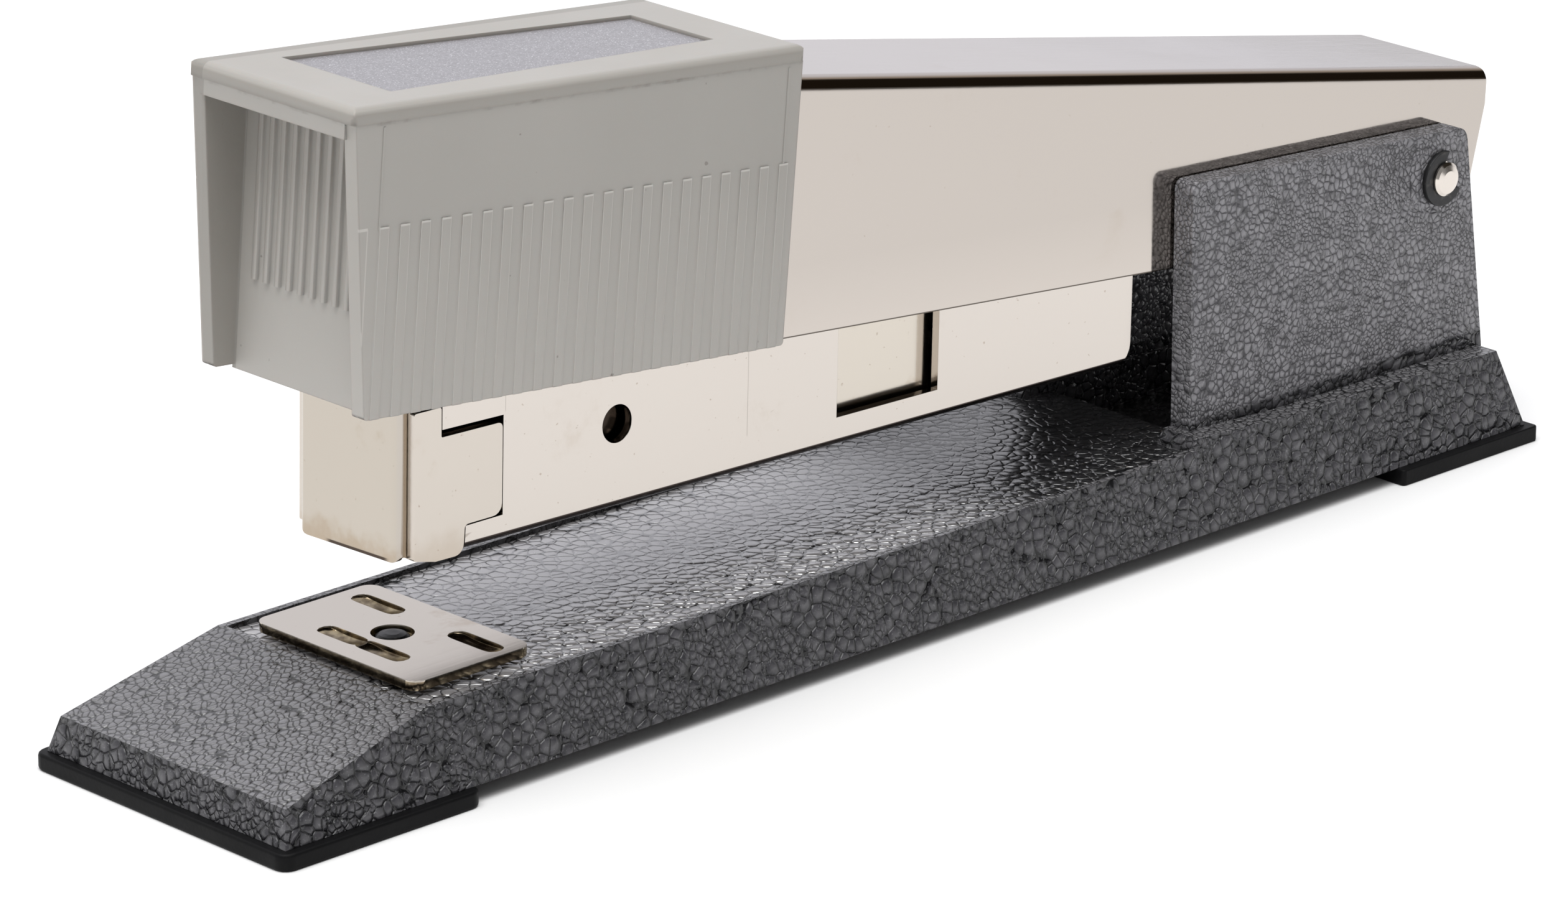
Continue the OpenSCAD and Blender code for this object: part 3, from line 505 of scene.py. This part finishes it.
# Nickelled nodes with a plate of their own: tint, stain, roughness and marks. The tints differ from part to part
# to match how bright each part looks under this light, so they are partly painted light and shade.
OWN_NICKEL = {
    "arm_shell": nickel("arm_nickel", (0.507, 0.463, 0.423), 0.14, 0.07, arm_marks),
    "outer_frame": nickel("frame_nickel", (0.614, 0.567, 0.521), 0.16, 0.09, frame_marks),
    "nose_block": nickel("block_nickel", (0.579, 0.530, 0.476), 0.5, 0.17,
                         low_stains(-17 * MM, -12.5 * MM, 0.3)),
    "nose_plate": nickel("nose_nickel", (0.498, 0.452, 0.392), 0.4, 0.18, plate_marks),
    "nose_spacers": nickel("spacer_nickel", (0.445, 0.374, 0.294), 0.6, 0.2),
    "inner_channel": nickel("channel_nickel", (0.605, 0.556, 0.490), 0.6, 0.16, channel_marks),
    "anvil_plate": nickel("anvil_nickel", (0.605, 0.556, 0.490), 0.35, 0.14, anvil_marks),
}


# --- Pieces ---


def new_object(name, mesh):
    made = bpy.data.objects.new(name, mesh)
    bpy.context.scene.collection.objects.link(made)
    return made


def dress(piece, body, slot, material=None):
    """Gives a new piece its body, its slot and its material."""
    piece.data.materials.clear()
    piece.data.materials.append(material or MATERIALS[slot])
    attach(piece, body)


def softened(node, width, segments, least_face=0.0, broad=BROAD_FACE):
    """The CAD node's own shape with its sharp edges rounded, standing for that node.

    Edges beside a face smaller than least_face keep their corner, so that they don't hold the
    others back. Edges between faces larger than broad stay sharp in the shading.
    """
    mesh = frame["nodes"][node].data.copy()
    mesh.name = node + "_softened"
    for extra in ("custom_normal", "sharp_face", "sharp_edge"):
        if extra in mesh.attributes:
            mesh.attributes.remove(mesh.attributes[extra])
    bm = bmesh.new()
    bm.from_mesh(mesh)
    bmesh.ops.remove_doubles(bm, verts=bm.verts, dist=2e-6)
    bmesh.ops.dissolve_limit(bm, angle_limit=math.radians(0.3), verts=bm.verts, edges=bm.edges)
    weight = bm.edges.layers.float.new("bevel_weight_edge")
    sharp_angle = math.radians(SHARP_ANGLE)
    for edge in bm.edges:
        smallest = min(face.calc_area() for face in edge.link_faces)
        edge.smooth = smallest < broad
        sharp = len(edge.link_faces) == 2 and edge.calc_face_angle(0.0) > sharp_angle
        edge[weight] = 1.0 if sharp and smallest > least_face else 0.0
    bm.to_mesh(mesh)
    bm.free()
    piece = new_object(node + "_body", mesh)
    bevel = piece.modifiers.new("edges", "BEVEL")
    bevel.width = width
    bevel.segments = segments
    bevel.limit_method = "WEIGHT"
    bevel.use_clamp_overlap = True
    for polygon in mesh.polygons:
        polygon.use_smooth = True
    weighted = piece.modifiers.new("flat_faces", "WEIGHTED_NORMAL")
    weighted.keep_sharp = True
    dress(piece, BODY_OF[node], SLOT_OF[node], OWN_NICKEL.get(node))
    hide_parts(node)


for name, obj in frame["nodes"].items():
    obj.data.materials.clear()
    obj.data.materials.append(MATERIALS[SLOT_OF[name]])

# Bevel width, its segments and, for the cap, the two face areas of softened()
SOFTENED = {
    "base_casting": (0.5 * MM, 3),
    "front_pad": (0.5 * MM, 3),
    "rear_pad": (0.2 * MM, 2),
    "outer_frame": (0.12 * MM, 2),
    "nose_block": (0.3 * MM, 4),
    "nose_plate": (0.2 * MM, 2),
    "nose_spacers": (0.08 * MM, 2),
    "inner_channel": (0.15 * MM, 2),
    "arm_shell": (0.12 * MM, 2),
    "cap": (0.4 * MM, 3, 45 * MM * MM, 1.5 * MM * MM),
    "hinge_clips": (0.1 * MM, 2),
    "label_plate": (0.06 * MM, 2),
}
for name, settings in SOFTENED.items():
    softened(name, *settings)


def cad_corners(node):
    """Lowest and highest corner of a CAD node."""
    points = [v.co for v in frame["nodes"][node].data.vertices]
    return (Vector(min(p[i] for p in points) for i in range(3)),
            Vector(max(p[i] for p in points) for i in range(3)))


def solid_from(name, verts, faces):
    mesh = bpy.data.meshes.new(name)
    mesh.from_pydata(verts, [], faces)
    mesh.validate()
    bm = bmesh.new()
    bm.from_mesh(mesh)
    bmesh.ops.recalc_face_normals(bm, faces=bm.faces)
    bm.to_mesh(mesh)
    bm.free()
    return new_object(name, mesh)


def rounded_outline(low, high, radius, steps=8):
    """Corner points of a rectangle with rounded corners, anticlockwise."""
    points = []
    left, right = low[0] + radius, high[0] - radius
    near, far = low[1] + radius, high[1] - radius
    for cx, cy, start in ((right, far, 0), (left, far, 90), (left, near, 180), (right, near, 270)):
        for i in range(steps + 1):
            a = math.radians(start + 90 * i / steps)
            points.append((cx + radius * math.cos(a), cy + radius * math.sin(a)))
    return points


def prism(name, outline, low, high):
    n = len(outline)
    verts = [(x, y, low) for x, y in outline] + [(x, y, high) for x, y in outline]
    faces = [tuple(reversed(range(n))), tuple(range(n, 2 * n))]
    faces += [(i, (i + 1) % n, n + (i + 1) % n, n + i) for i in range(n)]
    return solid_from(name, verts, faces)


def boat(name, x, y0, y1, width, depth, top, steps=20, across=8):
    """A long pocket whose floor rises in an arc to both ends, used as a cutter."""
    verts, faces = [], []
    for i in range(steps + 1):
        u = -1 + 2 * i / steps
        full = max(0.0, 1 - abs(u) ** 7) ** 0.5
        half = 0.5 * width * (0.3 + 0.7 * full)
        deep = depth * (1 - 0.75 * abs(u) ** 3)
        y = y0 + (y1 - y0) * (u + 1) / 2
        verts.append((x - half, y, top + MM))
        for k in range(across + 1):
            w = -1 + 2 * k / across
            verts.append((x + half * w, y, top - deep * (1 - 0.3 * abs(w) ** 3)))
        verts.append((x + half, y, top + MM))
    ring = across + 3
    for i in range(steps):
        for k in range(ring):
            a, b = i * ring + k, i * ring + (k + 1) % ring
            faces.append((a, b, b + ring, a + ring))
    faces += [tuple(range(ring)), tuple(reversed(range(steps * ring, (steps + 1) * ring)))]
    return solid_from(name, verts, faces)


def carved(piece, cutters):
    """Takes the cutters' volume out of a piece and throws the cutters away."""
    for cutter in cutters:
        cut = piece.modifiers.new("cut", "BOOLEAN")
        cut.operation = "DIFFERENCE"
        cut.solver = "EXACT"
        cut.object = cutter
    bpy.context.view_layer.update()
    shape = piece.evaluated_get(bpy.context.evaluated_depsgraph_get())
    mesh = bpy.data.meshes.new_from_object(shape)
    piece.modifiers.clear()
    piece.data = mesh
    for cutter in cutters:
        bpy.data.objects.remove(cutter, do_unlink=True)


def anvil_plate():
    """Plate with boat-shaped clinching pockets and a round, flat-floored recess for the post."""
    low, high = cad_corners("anvil_plate")
    plate = prism("anvil_plate_body", rounded_outline(low.xy, high.xy, 1.8 * MM), low.z, high.z)
    x = (low.x + high.x) / 2
    cutters = [boat("pocket", x + offset, y0, y1, POCKET_W, depth, high.z)
               for offset, y0, y1, depth in POCKETS]
    turns = [2 * math.pi * i / 48 for i in range(48)]
    ring = [(x + POST_HOLE_R * math.cos(a), POST_HOLE_R * math.sin(a)) for a in turns]
    cutters.append(prism("post_hole", ring, low.z + POST_HOLE_FLOOR, high.z + MM))
    carved(plate, cutters)
    bevel = plate.modifiers.new("edges", "BEVEL")
    bevel.width = 0.12 * MM
    bevel.segments = 2
    bevel.limit_method = "ANGLE"
    bevel.angle_limit = math.radians(35)
    plate.data.shade_smooth()
    plate.modifiers.new("flat_faces", "WEIGHTED_NORMAL")
    dress(plate, "anvil", "nickel", OWN_NICKEL["anvil_plate"])
    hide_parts("anvil_plate")


def closing_coil():
    """The pusher's spring, which on the stapler shortens towards the rod's anchor as the pusher runs back; here a
    fixed copy of the CAD coil, carried by the magazine.
    """
    coil = new_object("pusher_coil", frame["nodes"]["pusher_spring"].data.copy())
    dress(coil, "magazine", SLOT_OF["pusher_spring"])
    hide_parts("pusher_spring")
    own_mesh(coil)


anvil_plate()
closing_coil()


# --- Stage, light and camera ---


def floor():
    s = Shader("paper_sweep")
    tone = s.mix(s.span(s.noise(3, 2), 0.3, 0.7), (0.94, 0.94, 0.94, 1), (0.96, 0.96, 0.96, 1))
    material = s.finish(Base_Color=tone, Roughness=0.9, Specular_IOR_Level=0.0)
    mesh = bpy.data.meshes.new("sweep")
    half = 4.0
    corners = [(-half, -half, 0), (half, -half, 0), (half, half, 0), (-half, half, 0)]
    mesh.from_pydata(corners, [], [(0, 1, 2, 3)])
    made = new_object("sweep", mesh)
    mesh.materials.append(material)


def softbox(name, place, target, size, power):
    data = bpy.data.lights.new(name, "AREA")
    data.shape = "RECTANGLE"
    data.size, data.size_y = size
    data.energy = power
    lamp = bpy.data.objects.new(name, data)
    bpy.context.scene.collection.objects.link(lamp)
    lamp.location = place
    lamp.rotation_mode = "QUATERNION"
    lamp.rotation_quaternion = (Vector(place) - Vector(target)).to_track_quat("Z", "Y")


def room():
    """A bright studio: pale walls with the patches that the gloss mirrors."""
    world = bpy.data.worlds.new("studio")
    bpy.context.scene.world = world
    world.use_nodes = True
    tree = world.node_tree
    back = tree.nodes["Background"]
    place = tree.nodes.new("ShaderNodeTexCoord").outputs["Generated"]

    def toward(direction, inner, outer):
        """1 in that direction, falling to 0 between the two angles in degrees."""
        dot = tree.nodes.new("ShaderNodeVectorMath")
        dot.operation = "DOT_PRODUCT"
        tree.links.new(place, dot.inputs[0])
        dot.inputs[1].default_value = Vector(direction).normalized()
        ramp = tree.nodes.new("ShaderNodeMapRange")
        ramp.interpolation_type = "SMOOTHSTEP"
        tree.links.new(dot.outputs["Value"], ramp.inputs["Value"])
        ramp.inputs["From Min"].default_value = math.cos(math.radians(outer))
        ramp.inputs["From Max"].default_value = math.cos(math.radians(inner))
        return ramp.outputs["Result"]

    def blend(amount, a, b):
        made = tree.nodes.new("ShaderNodeMix")
        made.data_type = "RGBA"
        tree.links.new(amount, made.inputs["Factor"])
        for key, value in (("A", a), ("B", b)):
            if isinstance(value, bpy.types.NodeSocket):
                tree.links.new(value, made.inputs[key])
            else:
                made.inputs[key].default_value = value
        return made.outputs["Result"]

    colour = WALLS
    for direction, inner, outer, patch in PATCHES:
        colour = blend(toward(direction, inner, outer), colour, patch)
    tree.links.new(colour, back.inputs["Color"])
    back.inputs["Strength"].default_value = 1.0


def camera():
    data = bpy.data.cameras.new("camera")
    data.sensor_width = 36
    data.lens = CAMERA_LENS
    data.clip_start = 0.05
    data.clip_end = 20
    made = bpy.data.objects.new("camera", data)
    bpy.context.scene.collection.objects.link(made)
    made.location = CAMERA_PLACE
    turn, lift = math.radians(CAMERA_TURN), math.radians(CAMERA_LIFT)
    level = math.cos(lift)
    back = Vector((math.sin(turn) * level, -math.cos(turn) * level, math.sin(lift)))
    made.rotation_mode = "QUATERNION"
    made.rotation_quaternion = back.to_track_quat("Z", "Y")
    bpy.context.scene.camera = made


floor()
room()
softbox("key", (-0.22, -0.16, 1.25), (0, 0, 0), (1.1, 1.1), 14)
camera()
bpy.context.scene.view_settings.view_transform = "Standard"
